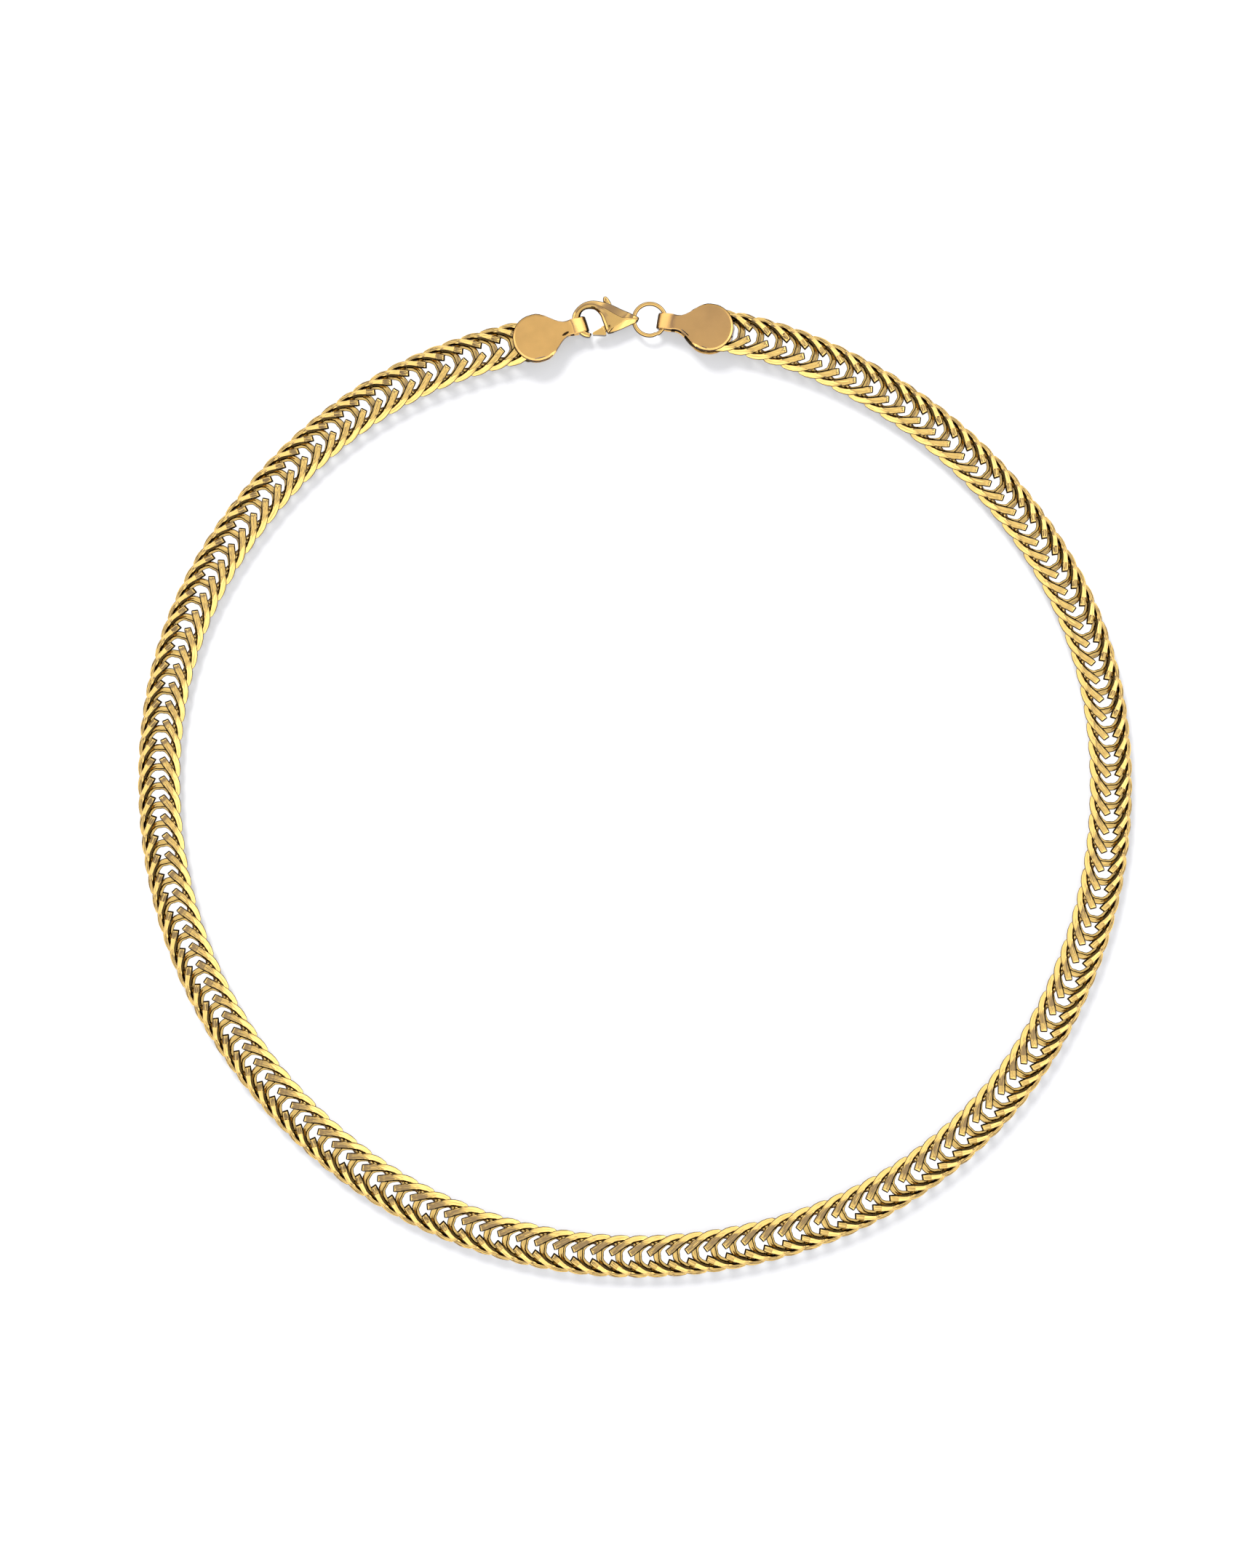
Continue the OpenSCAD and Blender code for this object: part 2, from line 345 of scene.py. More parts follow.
loop = {
    "centre": (0.2, -2.0),
    # clockwise from +X, every 20 degrees
    "radii": [73.2, 72.7, 72.6, 71.7, 70.6, 70.5, 71.0, 71.5, 72.6,
              73.6, 74.5, 74.1, 73.7, 72.7, 73.6, 73.5, 73.7, 74.0],
    "rightCapTurn": -81.2, "leftCapTurn": 257.8, "discRadius": 3.65, "looseLinks": 145,
    # the chain rises from the table to each cap over the last stretch
    "liftHeight": 0.5, "liftRun": 32, "capFlat": 4,
    # degrees between measured places and past the caps, and the reach of a direction
    "turnStep": 0.5, "turnsPast": 5, "headingReach": 0.2, "slopeReach": 0.5,
}


def radiusAt(turn):
    step = 360 / len(loop["radii"])
    i = np.floor(turn / step).astype(int)
    near = [np.take(loop["radii"], i + k, mode="wrap") for k in (-1, 0, 1, 2)]
    return curveBetween(*near, turn / step - i)


def pointAt(turn):
    turn = np.asarray(turn, float)
    around = np.radians(turn)
    way = np.stack([np.cos(around), -np.sin(around)], -1)
    return np.array(loop["centre"]) + radiusAt(turn)[..., None] * way


turns = np.arange(loop["rightCapTurn"] - loop["turnsPast"],
                  loop["leftCapTurn"] + loop["turnsPast"] + loop["turnStep"] / 2, loop["turnStep"])
runs = lengthsAlong(pointAt(turns))
startLength = np.interp(loop["rightCapTurn"], turns, runs)
chainLength = np.interp(loop["leftCapTurn"], turns, runs) - startLength
pitch = chainLength / (loop["looseLinks"] + 1)


def liftAt(distance):
    def ramp(d):
        share = np.clip((d - loop["capFlat"]) / loop["liftRun"], 0, 1)
        return loop["liftHeight"] * (1 + np.cos(np.pi * share)) / 2
    return ramp(distance) + ramp(chainLength - distance)


def placeOnLoop(points, distance):
    # points lie ahead, to the side and up from the place that is so far along the chain
    turn = np.interp(startLength + distance, runs, turns)
    here = pointAt(turn)
    forward = unit(pointAt(turn + loop["headingReach"]) - pointAt(turn - loop["headingReach"]))
    out = np.array([-forward[1], forward[0]])
    reach = loop["slopeReach"]
    slope = (liftAt(distance + reach) - liftAt(distance - reach)) / (2 * reach)
    run = points[:, 0] - points[:, 2] * slope
    level = here + run[:, None] * forward + points[:, 1:2] * out
    return np.column_stack([level, liftAt(distance) + points[:, 2] + points[:, 0] * slope])


# One link: a flat band bent from the tip of one arm round an eye to the bow, and back

link = {
    "tip": 5.25,
    # ahead, to the side, up, heading and tilt of the band's width, width, thickness,
    # place of the ridge, drop of the outer and inner edges below it, crown, and the groove
    # in the side that faces up once the band has turned over to form the legs and the bow
    "stations": [
        (5.05, 0.64, 2.20, 58, -13, 1.02, 0.10, 0.30, 0.00, 0.00, 0.00, 0.00),
        (4.82, 0.79, 2.40, 58, -13, 1.12, 0.32, 0.30, 0.02, 0.00, 0.00, 0.00),
        (4.66, 0.89, 2.45, 58, -13, 1.16, 0.42, 0.34, 0.02, 0.00, 0.00, 0.00),
        (4.06, 1.28, 2.45, 58, -13, 1.20, 0.44, 0.34, 0.03, 0.00, 0.00, 0.00),
        (3.86, 1.42, 2.44, 58, -20, 1.20, 0.46, 0.34, 0.04, 0.00, 0.01, 0.00),
        (3.20, 1.86, 2.38, 59, -20, 1.18, 0.46, 0.24, 0.07, 0.00, 0.02, 0.00),
        (2.75, 2.13, 2.31, 61, -21, 1.14, 0.46, 0.06, 0.10, 0.00, 0.03, 0.00),
        (2.30, 2.36, 2.23, 64, -21, 1.12, 0.44, -0.16, 0.12, 0.04, 0.03, 0.00),
        (1.85, 2.56, 2.12, 69, -20, 1.12, 0.44, -0.32, 0.12, 0.08, 0.03, 0.00),
        (1.15, 2.77, 1.95, 78, -20, 1.08, 0.42, -0.34, 0.12, 0.08, 0.03, 0.00),
        (0.40, 2.88, 1.75, 90, -22, 0.96, 0.40, -0.35, 0.12, 0.08, 0.03, 0.00),
        (-0.40, 2.84, 1.56, 101, -20, 0.80, 0.38, -0.32, 0.10, 0.06, 0.02, 0.00),
        (-1.05, 2.50, 1.46, 116, -14, 0.66, 0.36, -0.20, 0.08, 0.06, 0.02, 0.00),
        (-1.62, 1.96, 1.36, 126, -8, 0.58, 0.34, 0.00, 0.06, 0.06, 0.02, 0.00),
        (-1.95, 1.56, 1.05, 126, 0, 0.56, 0.34, 0.00, 0.04, 0.04, 0.02, 0.00),
        (-1.95, 1.48, 0.50, 116, 0, 0.56, 0.34, 0.00, 0.04, 0.04, 0.02, 0.00),
        (-1.45, 1.58, 0.24, 108, 0, 0.58, 0.34, 0.00, 0.04, 0.04, 0.02, 0.00),
        (-0.50, 1.88, 0.42, 104, 2, 0.62, 0.36, 0.00, 0.04, 0.04, 0.02, 0.00),
        (0.50, 2.16, 0.70, 95, 2, 0.60, 0.36, 0.10, 0.04, 0.04, 0.02, 0.00),
        (1.50, 2.06, 0.90, 72, 2, 0.66, 0.36, 0.22, 0.04, 0.04, 0.01, 0.04),
        (2.30, 1.75, 1.00, 62, 1, 0.70, 0.38, 0.28, 0.04, 0.04, 0.00, 0.08),
        (2.95, 1.34, 1.08, 54, 1, 0.78, 0.38, 0.20, 0.04, 0.04, 0.00, 0.10),
        (3.42, 0.94, 1.09, 36, 3, 0.98, 0.38, 0.00, 0.04, 0.04, -0.02, 0.10),
        (3.66, 0.48, 1.08, 10, 6, 1.16, 0.38, -0.12, 0.05, 0.04, -0.05, 0.10),
        (3.68, 0.00, 1.07, 0, 6, 1.22, 0.38, -0.15, 0.05, 0.04, -0.05, 0.10)],
    # half widths of the flat top and the underside, drop of the sides, and steps near the edges
    "topHalf": 0.37, "underHalf": 0.41, "flare": 0.22, "underRise": 0.03, "grooveStep": 0.08,
    # the outer arm's twist behind its tip, in degrees, and where it lies along the arm
    "twist": 9, "twistPlace": 2.9, "twistReach": 1.1, "armLevel": 1.9,
    # stations where the tip's sharp edges and facet end, and where legs, groove and bow begin
    "sharpEnd": 2, "facetEnd": 3, "legsFrom": 13, "grooveFrom": 17, "bowFrom": 21,
    # painted shade: dark walls, a duller tip facet and crease in the outer row, undersides, legs, and none
    # on a strip of the bow
    "wallShade": 0.94, "tipShade": 0.22, "creaseShade": 0.4, "underShade": 0.65, "legShade": 0.35,
    "stripShade": 0.0,
    # the streaks shift from one link to the next, and come back after so many
    "streakShift": 0.3, "streakKinds": 9,
}


def makeHalfLink(twist):
    # cross-sections from the tip to the middle of the bow, each with ten corners
    rows = np.array(link["stations"], float)
    half = []
    for i, row in enumerate(rows):
        ahead = np.array([0.0, -1.0, 0.0])
        if i + 1 < len(rows):
            ahead = unit(rows[i + 1, :3] - rows[max(i - 1, 0), :3])
        turned = 0.0
        if row[2] > link["armLevel"]:
            turned = twist * max(0, 1 - ((row[0] - link["twistPlace"]) / link["twistReach"]) ** 2)
        heading, tilt = np.radians(row[3:5] - [0, turned])
        level = math.cos(tilt)
        across = np.array([math.cos(heading) * level, math.sin(heading) * level, math.sin(tilt)])
        across = unit(across - ahead * across.dot(ahead))
        above = np.cross(across, ahead)
        wide, thick, ridge, outerDrop, innerDrop, crown, groove = row[5:]
        top, flare, under = link["topHalf"] * wide, -link["flare"] * thick, link["underHalf"] * wide
        rim, high, peak = wide / 2, thick / 2, ridge * wide
        step, rise = link["grooveStep"], link["underRise"]
        ring = [(rim, flare), (top, high - outerDrop), (peak, high + crown), (-top, high - innerDrop),
                (-rim, flare), (-under, rise - high), (peak - 2 * step, -high - crown),
                (peak - step, groove - high), (peak, -high - crown), (under, rise - high)]
        half.append(np.array([row[:3] + across * side + above * up for side, up in ring]))
    return half


def makeLinkRings():
    # the outer arm is twisted behind its tip, and the inner arm stays flat
    inner = makeHalfLink(0)
    return makeHalfLink(link["twist"]) + [ring * [1, -1, 1] for ring in inner[-2::-1]]


def linkShade(corners, row, reach):
    # painted shade for a face, from the corners that it touches, its station from the nearer tip, and the
    # last station that it touches, from the outer arm's tip
    walls = ({0, 1}, {3, 4}, {4, 5}, {0, 9})
    turnedOver = corners <= {5, 6, 7, 8, 9}
    if len(corners) > 2 or row < 1 or corners in walls:
        return link["wallShade"]
    if row < link["legsFrom"]:
        # in the outer row the flat facet at the tip gets painted shade, duller than the band behind it
        paintedDull = link["tipShade"] if reach <= link["facetEnd"] else 0.0
        if reach == link["facetEnd"] + 1:
            paintedDull = link["creaseShade"]
        return link["underShade"] if turnedOver else paintedDull
    if row > link["grooveFrom"] and corners in ({6, 7}, {7, 8}):
        return link["wallShade"]
    if turnedOver and (row > link["bowFrom"] or (row > link["grooveFrom"] and corners == {5, 6})):
        return link["stripShade"]
    return link["legShade"]


def layGrain(mesh, rings, spots):
    # place across and along the band, for the drawn streaks
    points = np.vstack(rings)
    sides = len(rings[0])
    middles = np.array([ring.mean(axis=0) for ring in rings])
    run = lengthsAlong(middles)
    grain = []
    for spot in spots:
        k = spot // sides
        grain.append(((points[spot] - middles[k]).dot(unit(rings[k][0] - rings[k][4])), run[k], 0))
    layer = mesh.attributes.new("grain", "FLOAT_VECTOR", "POINT")
    layer.data.foreach_set("vector", np.array(grain, np.float32).ravel())


def finishLink(obj, rings):
    # the band's walls and hidden legs get painted shade, deeper in tone; its ridges and rims stay crisp
    points = np.vstack(rings)
    sides, last = len(rings[0]), len(rings) - 1
    mesh = obj.data
    spots = [int(np.argmin(np.abs(points - np.array(v.co) / mm).sum(axis=1))) for v in mesh.vertices]
    shades = []
    for face in mesh.polygons:
        stations = [spots[v] // sides for v in face.vertices]
        row = sum(min(k, last - k) for k in stations) / len(stations)
        shades.append(linkShade({spots[v] % sides for v in face.vertices}, row, max(stations)))
    paintShade(obj, shades)
    layGrain(mesh, rings, spots)
    mesh.polygons.foreach_set("use_smooth", np.ones(len(mesh.polygons), bool))
    facet = (link["facetEnd"], link["facetEnd"] + 1)
    for edge in mesh.edges:
        a, b = (spots[v] for v in edge.vertices)
        row = min(a // sides, last - a // sides)
        aroundFacet = row in facet and a // sides == b // sides
        edge.use_edge_sharp = a % sides == b % sides or row < link["sharpEnd"] or aroundFacet
    return obj


def layLinks(name, pattern, first, last):
    copies = []
    for i in range(first, last + 1):
        copy = pattern.copy()
        copy.data = pattern.data.copy()
        bpy.context.scene.collection.objects.link(copy)
        for item in copy.data.attributes["grain"].data:
            item.vector[2] = link["streakShift"] * (i % link["streakKinds"])
        distance = loop["discRadius"] + (i + 1) * pitch - link["tip"]
        copies.append(moveVertices(copy, lambda co: placeOnLoop(co, distance)))
    return joinPieces(copies, name)


linkRings = makeLinkRings()
pattern = finishLink(turnOutwards(drawOut("link", linkRings)), linkRings)
loose = loop["looseLinks"]
middle = loose // 2
chainRight = layLinks("chain_right_links", pattern, 0, middle - 1)
chainLeft = layLinks("chain_left_links", pattern, middle, loose - 1)
endLinkRight = layLinks("end_link_right", pattern, -1, -1)
endLinkLeft = layLinks("end_link_left", pattern, loose, loose)
bpy.data.objects.remove(pattern)
for obj, node in ((chainRight, "chain_right"), (chainLeft, "chain_left"),
                  (endLinkRight, "cap_right"), (endLinkLeft, "cap_left")):
    wearAs(obj, chainGold, "chain_gold", "necklace", node)
print("stage: chain laid, link faces", len(endLinkRight.data.polygons))


# End caps: one sheet cut to a spade, folded at the bail so that it lies under itself

cap = {
    "discRadius": loop["discRadius"], "neckStart": 0.6, "neckEnd": 5.1, "neckWidth": 2.2,
    "bailWidth": 2.4, "bailFlare": 1.2, "sheet": 0.38, "dome": 0.02,
    # width and drop of the rounded rim on the disc and along the neck, and its bright share
    "rim": 0.36, "rimDrop": 0.18, "neckRim": 0.14, "neckDrop": 0.11, "rimBright": 0.72, "edgeShare": 0.7,
    "topLevel": 3.58, "lowLevel": 0.19, "fall": 0.094, "crease": 5.75,
    # cross-sections: angles round the disc, then places along the shoulder and the neck
    "discAngles": [*range(180, 90, -9), 84], "shoulder": (1.0, 1.6), "shoulderInset": 0.1,
    "neck": (2.2, 2.8, 3.4, 4.0, 4.6, 5.2), "creaseGap": 0.06, "creaseDip": 0.02,
    # height of the sheet's middle round the bail and back under the neck, x and z
    "fold": [(6.3, 2.47), (6.9, 2.20), (7.4, 1.94), (7.8, 1.62), (7.98, 1.30), (7.90, 0.92), (7.6, 0.58),
             (7.1, 0.40), (6.5, 0.34), (5.8, 0.32), (5.2, 0.30), (4.2, 0.25), (3.2, 0.20), (2.2, 0.19)],
    "foldSteps": 2, "bailSwell": 0.03, "bailLow": 0.5,
    # a lower plate's shift to the side: below which height, from which place and over how far
    "shiftBelow": 0.8, "shiftStart": 7.4, "shiftRun": 3,
    # the web between the two plates: places, inset from the edges, floor and how it rises
    "web": (2.4, 2.9, 3.5, 4.2, 5.0, 5.68), "webInset": 0.34, "webLow": 0.3, "webRise": 0.06,
    "webRiseFrom": 3.5, "webGap": 0.02,
    # each cap's own values; a slit by its seam has a place, half length, half width and angle
    "right": {"turn": loop["rightCapTurn"], "heading": 170.4, "shift": 0,
              "slits": [(3.62, 1.40, 0.80, 0.10, -31), (0.30, 3.20, 0.48, 0.07, -14)]},
    "left": {"turn": loop["leftCapTurn"], "heading": 18, "shift": 0.35,
             "slits": [(4.46, -0.74, 0.60, 0.19, 14), (-0.38, -3.14, 0.95, 0.07, -4)]},
    "slitSides": 16, "slitDepth": 0.6,
    # the soldered end link: how far it stays under the top plate, and where the cap hides it
    "linkDepth": 0.26, "hiddenFrom": -3.2,
    "sheetSmooth": 24, "webSmooth": 30, "lastSmooth": 20,
    "shade": {
        "dark": 0.97, "outline": 0.88, "most": 0.75,
        # the north side of the rim, and any face that looks to a side
        "north": 0.5, "northFull": 0.3, "side": 0.7, "sideFrom": 0.55, "topFrom": 2, "creaseReach": 0.1,
        # what lies between the plates, and the bail where it turns down
        "betweenEnd": 5.9, "betweenLow": 0.45, "betweenHigh": 0.13, "bailFrom": 6.9, "bailSteep": 0.62,
        # heights of the sheet's edge over its middle, and of the dark line along the neck
        "edgeLow": -0.2, "edgeHigh": 0.06, "lineFrom": 1.9, "lineHigh": 0.13},
}


def capFlank(x):
    # half width of the spade
    r = cap["discRadius"]
    if x < cap["neckStart"]:
        return math.sqrt(max(0, r * r - x * x))
    half = cap["neckWidth"] / 2
    if x < cap["neckEnd"]:
        f = (x - cap["neckStart"]) / (cap["neckEnd"] - cap["neckStart"])
        wide = math.sqrt(r * r - cap["neckStart"] ** 2)
        return half + (wide - half) * (1 + math.cos(math.pi * f)) / 2
    return half + (cap["bailWidth"] / 2 - half) * min(1, (x - cap["neckEnd"]) / cap["bailFlare"])


def capTop(x):
    return cap["topLevel"] - cap["fall"] * (x + cap["discRadius"])


def capRow(edge, inner, z, normal, dome, drop):
    # one cross-section of the sheet; edge and inner are x and half width at the rim and inside it
    nx, nz = normal
    thick, bright = cap["sheet"] / 2, cap["rimBright"]
    middle = [a + bright * (b - a) for a, b in zip(inner, edge)]
    upper, lower = [], []
    for f in np.linspace(-1, 1, 6):
        rise = thick + dome * (1 - f * f)
        upper.append((inner[0] + nx * rise, inner[1] * f, z + nz * rise))
        lower.append((inner[0] - nx * thick, inner[1] * f, z - nz * thick))
    high, turn, low = thick - bright * drop, thick - drop, thick * cap["edgeShare"]
    rimHigh, rimTop, rimLow = [], [], []
    for s in (-1, 1):
        rimHigh.append((middle[0] + nx * high, s * middle[1], z + nz * high))
        rimTop.append((edge[0] + nx * turn, s * edge[1], z + nz * turn))
        rimLow.append((edge[0] - nx * low, s * edge[1], z - nz * low))
    return np.array([rimLow[0], rimTop[0], rimHigh[0], *upper,
                     rimHigh[1], rimTop[1], rimLow[1], *lower[::-1]])


def capSheet(shift):
    # from the far end of the top plate over the neck, round the bail and back along the lower plate
    r, rim, drop = cap["discRadius"], cap["rim"], cap["rimDrop"]
    discs = [(rotate(r, 0, a), rotate(r - rim, 0, a)) for a in cap["discAngles"]]
    discs += [((x, capFlank(x)), (x - cap["shoulderInset"], capFlank(x) - rim)) for x in cap["shoulder"]]
    tilt = math.atan(cap["fall"])
    up = (math.sin(tilt), math.cos(tilt))
    rows = [capRow(edge, inner, capTop(edge[0]), up, cap["dome"] * inner[1] / r, drop)
            for edge, inner in discs]
    for x in (*cap["neck"], cap["crease"] - cap["creaseGap"]):
        wide = capFlank(x)
        rows.append(capRow((x, wide), (x, wide - cap["neckRim"]), capTop(x), up, 0.0, cap["neckDrop"]))
    fold = [(cap["crease"], capTop(cap["crease"]) - cap["creaseDip"])] + cap["fold"]
    fold = smoothThrough(fold, cap["foldSteps"])
    for i, (x, z) in enumerate(fold):
        ahead = unit(fold[min(i + 1, len(fold) - 1)] - fold[max(i - 1, 0)])
        swell, dome = (cap["bailSwell"], cap["dome"]) if z > cap["bailLow"] else (0, 0)
        wide = capFlank(x) + swell
        inner = (x, wide - cap["neckRim"])
        rows.append(capRow((x, wide), inner, z, (-ahead[1], ahead[0]), dome, cap["neckDrop"]))
    rows += [capRow(edge, inner, cap["lowLevel"], (0, -1), 0.0, drop) for edge, inner in discs[::-1]]
    for row in rows:
        if row[:, 2].max() < cap["shiftBelow"]:
            row[:, 1] += shift * np.clip((cap["shiftStart"] - row[:, 0]) / cap["shiftRun"], 0, 1)
    return rows


def capWeb():
    rows = []
    for x in cap["web"]:
        wide = capFlank(x) - cap["webInset"]
        low = cap["webLow"] + cap["webRise"] * max(0, x - cap["webRiseFrom"])
        high = capTop(x) - cap["webGap"]
        rows.append(np.array([(x, -wide, low), (x, wide, low), (x, wide, high), (x, -wide, high)]))
    return rows


def cutSlit(obj, x, y, long, wide, angle):
    outline = [np.add((x, y), rotate(long * math.cos(a), wide * math.sin(a), angle))
               for a in anglesRound(cap["slitSides"])]
    level, depth = capTop(x), cap["slitDepth"]
    return cutWith(obj, extrudeShape("slit", outline, level - depth, level + depth))


def capShade(x, z, normal, north):
    # painted shade: rims stay bright but for their north side, which is painted darker, and edges and
    # everything between the plates are painted dark
    shade, top = cap["shade"], capTop(x)
    flat = x < cap["crease"] - shade["creaseReach"]
    between = x < shade["betweenEnd"] and shade["betweenLow"] < z < top - shade["betweenHigh"]
    turned = x > shade["bailFrom"] and normal.z < shade["bailSteep"]
    edge = flat and shade["edgeLow"] < z - top < shade["edgeHigh"]
    if between or turned or edge:
        return shade["dark"]
    if shade["lineFrom"] < x < cap["crease"] and shade["edgeHigh"] <= z - top < shade["lineHigh"]:
        return shade["outline"]
    shaded = 0
    if flat and z > shade["topFrom"]:
        shaded = shade["north"] * min(1, max(0, normal.dot(north) / shade["northFull"]))
    side = max(0.0, shade["sideFrom"] - normal.z) * shade["side"]
    return min(shade["most"], max(side, shaded))


def shadeCap(obj, heading):
    north = Vector((*rotate(0, 1, -heading), 0))
    paintShade(obj, [capShade(face.center.x / mm, face.center.z / mm, face.normal, north)
                     for face in obj.data.polygons])


def makeCap(side):
    own, name = cap[side], "cap_" + side + "_spade"
    sheet = tidyMesh(drawOut(name, capSheet(own["shift"])), cap["sheetSmooth"])
    for slit in own["slits"]:
        cutSlit(sheet, *slit)
    web = tidyMesh(drawOut(name + "Web", capWeb()), cap["webSmooth"])
    obj = joinPieces([sheet, web], name)
    shadeCap(obj, own["heading"])
    smoothByAngle(obj, cap["lastSmooth"])
    centre = pointAt(own["turn"])

    def place(co):
        x, y = rotate(co[:, 0], co[:, 1], own["heading"])
        return np.column_stack([centre[0] + x, centre[1] + y, co[:, 2]])
    moveVertices(obj, place)
    return wearAs(obj, capGold, "cap_gold", "necklace", "cap_" + side)


def pressInside(obj, side):
    # presses the soldered end link down under the cap's top plate, and paints shade on what the cap covers
    centre = pointAt(cap[side]["turn"])

    def along(x, y):
        return rotate(x - centre[0], y - centre[1], -cap[side]["heading"])[0]

    def press(co):
        x = along(co[:, 0], co[:, 1])
        low = np.minimum(co[:, 2], capTop(x) - cap["linkDepth"])
        return np.column_stack([co[:, :2], np.where(x > cap["hiddenFrom"], low, co[:, 2])])

    for face, tone in zip(obj.data.polygons, obj.data.attributes["paintedShade"].data):
        if along(face.center.x / mm, face.center.y / mm) > cap["hiddenFrom"]:
            tone.value = cap["shade"]["dark"]
    return moveVertices(obj, press)


pressInside(endLinkRight, "right")
pressInside(endLinkLeft, "left")
makeCap("right")
makeCap("left")
print("stage: end caps made")


# Clasp, drawn round the lever's pin, and the jump ring through its end eye

clasp = {
    "pin": (-4.0, 71.0, 1.5), "thickness": 2.4,
    "eye": (3.8, 1.2), "eyeHole": 0.5, "eyeReach": 2.5, "eyeSides": 24,
    # inner edge, outer edge, half thickness, edge height, then place and height of two ridges
    "stations": [
        (-2.86, -0.93, -2.72, -1.12, 0.30, 0.18, 0.30, 0.26, 0.70, 0.26),
        (-3.02, -0.84, -3.02, -1.58, 0.60, 0.32, 0.26, 0.56, 0.70, 0.56),
        (-3.30, -0.70, -3.84, -1.50, 0.70, 0.50, 0.28, 0.68, 0.70, 0.68),
        (-3.90, -0.20, -4.55, -1.06, 0.74, 0.54, 0.28, 0.73, 0.72, 0.74),
        (-4.29, 0.42, -5.19, -0.26, 0.75, 0.56, 0.26, 0.74, 0.74, 0.75),
        (-4.46, 1.20, -5.62, 0.64, 0.75, 0.56, 0.24, 0.74, 0.74, 0.75),
        (-4.44, 1.62, -5.70, 1.48, 0.75, 0.58, 0.22, 0.74, 0.70, 0.75),
        (-4.30, 2.10, -5.44, 2.30, 0.75, 0.60, 0.20, 0.75, 0.60, 0.76),
        (-3.86, 2.55, -4.80, 3.10, 0.78, 0.62, 0.18, 0.78, 0.55, 0.80),
        (-3.30, 2.72, -3.83, 3.75, 0.84, 0.68, 0.16, 0.82, 0.54, 0.86),
        (-2.75, 2.72, -2.48, 4.02, 0.94, 0.76, 0.16, 0.90, 0.52, 0.96),
        (-2.25, 2.60, -0.92, 3.78, 1.05, 0.84, 0.15, 0.98, 0.50, 1.06),
        (-1.80, 2.25, 0.00, 3.50, 1.14, 0.88, 0.14, 1.04, 0.49, 1.14),
        (-1.30, 1.60, 0.90, 3.12, 1.18, 0.90, 0.15, 1.07, 0.54, 1.18),
        (-0.98, 0.75, 1.68, 2.73, 1.19, 0.90, 0.14, 1.08, 0.61, 1.20),
        (-0.66, -0.12, 2.30, 2.45, 1.19, 0.90, 0.13, 1.08, 0.67, 1.20),
        (-0.34, -0.95, 2.80, 2.26, 1.18, 0.88, 0.14, 1.07, 0.71, 1.19),
        (-0.02, -0.99, 2.98, 2.18, 1.17, 0.80, 0.28, 1.10, 0.72, 1.18),
        (0.33, -0.93, 3.15, 2.10, 1.15, 0.72, 0.44, 1.12, 0.74, 1.16),
        (1.00, -0.72, 3.45, 1.96, 1.09, 0.60, 0.60, 1.07, 0.76, 1.10),
        (1.80, -0.40, 3.75, 1.82, 1.02, 0.53, 0.66, 1.00, 0.77, 1.02),
        (2.60, -0.04, 4.02, 1.72, 0.95, 0.54, 0.66, 0.94, 0.76, 0.95),
        (3.30, 0.28, 4.28, 1.62, 0.88, 0.54, 0.62, 0.87, 0.76, 0.88),
        (3.95, 0.54, 4.50, 1.50, 0.80, 0.52, 0.52, 0.78, 0.74, 0.79),
        (4.40, 0.82, 4.64, 1.30, 0.55, 0.40, 0.40, 0.53, 0.70, 0.54)],
    "bevel": 0.15, "undercut": 0.16, "line": 0.03, "lineStep": 0.012,
    # the hook's thin end has smaller edges; how far the edges step down, and the outer rim's height
    "fineSpan": 1.6, "leastSpan": 0.5, "innerStep": 0.19, "outerStep": 0.17, "outerShare": 0.84,
    # smoothing, and painted shade: the dark tone of steep faces, how steep they are, and the tone of lines
    # between facets
    "smoothSteps": 3, "outline": 0.93, "steep": 0.70, "lineShade": 0.85, "firstSmooth": 17, "lastSmooth": 8,
    # faces along the two ridges: rings without them, and how near, small and narrow they are
    "ridgeFrom": 9, "ridgeReach": 0.3, "ridgeArea": 0.075, "ridgeWidth": 0.078,
    # the lever's slot: round the pin, for the thumb arm with its swing, and for the gate
    "leverThickness": 0.7, "leverGap": 0.1, "slotRadius": 1.05, "swing": 28, "swingRadius": 4.8,
    "armSlot": [(-0.9, 0.2), (1.0, 0)], "armSlotEnd": (-1.0, 4.5),
    "gateSlot": [(0, 1.0), (-1.6, 1.0), (-3.0, -2), (-0.2, -2), (0.6, -0.8)],
    "pinRadius": 0.25, "pinGap": 0.02, "cutHeight": 2,
    # the pressed mark: its middle, its half axes, its floor, and the reach of its face that is painted dark
    # as shade
    "mark": (-2.46, 2.97), "markLong": (0.36, -0.08), "markShort": (0.03, 0.09), "markSides": 12,
    "markLevel": 0.76, "markReach": 0.2, "markFlat": 0.99,
}


def inClaspFrame(obj):
    return moveVertices(obj, lambda co: co + np.array(clasp["pin"]))


def claspRing(ix, iy, ox, oy, top, edge, f1, h1, f2, h2):
    # one cross-section, as shares of the way from the inner edge to the outer one, and heights
    inner, outer = np.array([ix, iy]), np.array([ox, oy])
    span = max(clasp["leastSpan"], np.linalg.norm(outer - inner))
    fine = min(1, span / clasp["fineSpan"])
    rim = h2 * clasp["outerShare"]
    low, side = edge - clasp["innerStep"] * fine, rim - clasp["outerStep"] * fine
    bevel, line, under = clasp["bevel"] * fine / span, clasp["line"] / span, clasp["undercut"] * fine / span
    step, middle = clasp["lineStep"], (f1 + f2) / 2
    corners = [(under, -low), (0, low), (bevel, edge), (f1 - line, h1 - step), (f1 + line, h1),
               (middle, top), (f2 - line, h2), (f2 + line, h2 - step), (1 - bevel, rim),
               (1, side), (1, -side), (1 - bevel, -rim), (f2, -h2), (middle, -top),
               (f1 + under, -h1), (bevel + under, -edge)]
    return np.array([(*(inner + (outer - inner) * f), z) for f, z in corners])


